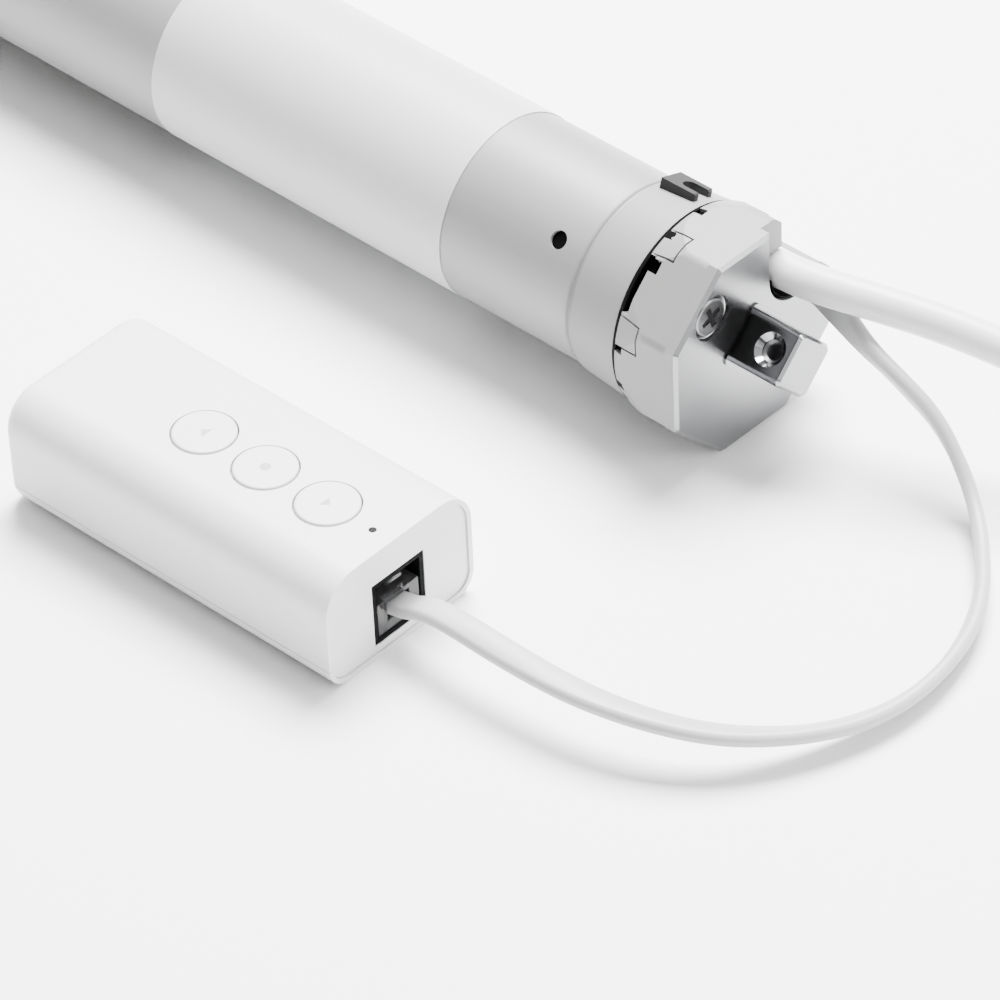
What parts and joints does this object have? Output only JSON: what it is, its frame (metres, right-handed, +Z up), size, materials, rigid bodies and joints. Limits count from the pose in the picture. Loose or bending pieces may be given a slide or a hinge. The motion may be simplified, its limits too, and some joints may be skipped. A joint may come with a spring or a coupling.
{
  "type": "roller shade motor with wired control box",
  "caption": "Tubular roller shade motor with an octagonal head, square stub, free crown and drive wheel, wired to a push-button control box.",
  "frame": {"origin": "on the floor below the middle of the motor and control box, without the cables", "axes": "+X along the motor axis out of the head, +Y from the control box to the motor, +Z up"},
  "size_m": [0.6047, 0.2108, 0.0392],
  "materials": {
    "tube_paint": "satin",
    "label_film": "matt",
    "head_plastic": "matt",
    "key_plastic": "matt",
    "black_plastic": "matt",
    "polished_steel": "polished",
    "stub_steel": "satin",
    "screw_steel": "satin",
    "magnet_iron": "matt",
    "circuit_board": "satin",
    "sleeve_plastic": "matt",
    "capacitor_can": "satin",
    "brake_steel": "satin",
    "core_iron": "matt",
    "winding_wire": "satin",
    "gear_steel": "satin",
    "gear_plastic": "matt",
    "wheel_plastic": "matt",
    "box_plastic": "satin",
    "button_plastic": "satin",
    "lens_plastic": "satin",
    "clear_plastic": "clear",
    "gold_contacts": "polished",
    "cable_jacket": "matt",
    "flat_cable_jacket": "matt"
  },
  "bodies": {
    "motor_and_box": {"face_plate": "polished_steel", "square_stub": "stub_steel", "plate_screws": "screw_steel", "head_housing": "head_plastic", "cable_clamp": "black_plastic", "encoder_board": "circuit_board", "motor_tube": "tube_paint", "tube_label": "label_film", "tube_pins": "screw_steel", "electronics_sleeve": "sleeve_plastic", "driver_board": "circuit_board", "run_capacitor": "capacitor_can", "brake_coil": "brake_steel", "rear_end_shield": "capacitor_can", "front_end_shield": "capacitor_can", "rear_bearing": "gear_steel", "front_bearing": "gear_steel", "stator_core": "core_iron", "stator_windings": "winding_wire", "gearbox_housing": "gear_steel", "output_bush": "gear_steel", "case_bottom": "box_plastic", "case_top": "box_plastic", "case_screws": "screw_steel", "jack_end_cap": "box_plastic", "jack_socket": "black_plastic", "control_board": "circuit_board", "tact_switches": "black_plastic", "status_light": "lens_plastic", "plug_body": "clear_plastic", "plug_contacts": "gold_contacts", "data_cable": "flat_cable_jacket", "power_cable": "cable_jacket", "power_cable_coil": "cable_jacket", "power_cable_wires": "cable_jacket"},
    "crown": {"crown_ring": "head_plastic", "crown_key": "key_plastic", "encoder_magnets": "magnet_iron"},
    "output": {"output_carrier": "gear_steel", "drive_wheel": "wheel_plastic", "wheel_clip": "screw_steel"},
    "carrier_one": {"first_carrier": "gear_steel"},
    "rotor": {"rotor_core": "core_iron", "rotor_shaft": "gear_steel", "sun_gear": "gear_steel", "brake_disc": "black_plastic"},
    "armature": {"brake_armature": "brake_steel"},
    "planet_1a": {"planet_gear_1a": "gear_plastic"},
    "planet_1b": {"planet_gear_1b": "gear_plastic"},
    "planet_1c": {"planet_gear_1c": "gear_plastic"},
    "planet_2a": {"planet_gear_2a": "gear_plastic"},
    "planet_2b": {"planet_gear_2b": "gear_plastic"},
    "planet_2c": {"planet_gear_2c": "gear_plastic"},
    "key_up": {"button_up": "button_plastic"},
    "key_stop": {"button_stop": "button_plastic"},
    "key_down": {"button_down": "button_plastic"}
  },
  "joints": [
    {"name": "crown_spin", "type": "hinge", "parent": "motor_and_box", "child": "crown", "pos_m": [0.198, 0.03802, 0.0195], "axis": [1, 0, 0], "continuous": true},
    {"name": "output_spin", "type": "hinge", "parent": "motor_and_box", "child": "output", "pos_m": [-0.1815, 0.03802, 0.0195], "axis": [1, 0, 0], "continuous": true},
    {"name": "carrier_spin", "type": "hinge", "parent": "motor_and_box", "child": "carrier_one", "pos_m": [-0.1425, 0.03802, 0.0195], "axis": [1, 0, 0], "continuous": true},
    {"name": "rotor_spin", "type": "hinge", "parent": "motor_and_box", "child": "rotor", "pos_m": [-0.0625, 0.03802, 0.0195], "axis": [1, 0, 0], "continuous": true},
    {"name": "armature_slide", "type": "slide", "parent": "motor_and_box", "child": "armature", "axis": [1, 0, 0], "range_m": [0, 0.0004], "stiffness_N_per_m": 1000, "springref_m": -0.001},
    {"name": "planet_1a_spin", "type": "hinge", "parent": "carrier_one", "child": "planet_1a", "pos_m": [-0.1355, 0.04627, 0.0195], "axis": [1, 0, 0], "continuous": true},
    {"name": "planet_1b_spin", "type": "hinge", "parent": "carrier_one", "child": "planet_1b", "pos_m": [-0.1355, 0.03389, 0.02664], "axis": [1, 0, 0], "continuous": true},
    {"name": "planet_1c_spin", "type": "hinge", "parent": "carrier_one", "child": "planet_1c", "pos_m": [-0.1355, 0.03389, 0.01235], "axis": [1, 0, 0], "continuous": true},
    {"name": "planet_2a_spin", "type": "hinge", "parent": "output", "child": "planet_2a", "pos_m": [-0.1495, 0.04627, 0.0195], "axis": [1, 0, 0], "continuous": true},
    {"name": "planet_2b_spin", "type": "hinge", "parent": "output", "child": "planet_2b", "pos_m": [-0.1495, 0.03389, 0.02664], "axis": [1, 0, 0], "continuous": true},
    {"name": "planet_2c_spin", "type": "hinge", "parent": "output", "child": "planet_2c", "pos_m": [-0.1495, 0.03389, 0.01235], "axis": [1, 0, 0], "continuous": true},
    {"name": "up_press", "type": "slide", "parent": "motor_and_box", "child": "key_up", "axis": [0, 0, -1], "range_m": [0, 0.0005], "stiffness_N_per_m": 400, "springref_m": -0.001},
    {"name": "stop_press", "type": "slide", "parent": "motor_and_box", "child": "key_stop", "axis": [0, 0, -1], "range_m": [0, 0.0005], "stiffness_N_per_m": 400, "springref_m": -0.001},
    {"name": "down_press", "type": "slide", "parent": "motor_and_box", "child": "key_down", "axis": [0, 0, -1], "range_m": [0, 0.0005], "stiffness_N_per_m": 400, "springref_m": -0.001}
  ],
  "couplings": [
    {"joint": "carrier_spin", "follows": "output_spin", "ratio": 5},
    {"joint": "rotor_spin", "follows": "output_spin", "ratio": 25},
    {"joint": "planet_1a_spin", "follows": "output_spin", "ratio": -13.333},
    {"joint": "planet_1b_spin", "follows": "output_spin", "ratio": -13.333},
    {"joint": "planet_1c_spin", "follows": "output_spin", "ratio": -13.333},
    {"joint": "planet_2a_spin", "follows": "output_spin", "ratio": -2.6667},
    {"joint": "planet_2b_spin", "follows": "output_spin", "ratio": -2.6667},
    {"joint": "planet_2c_spin", "follows": "output_spin", "ratio": -2.6667}
  ]
}
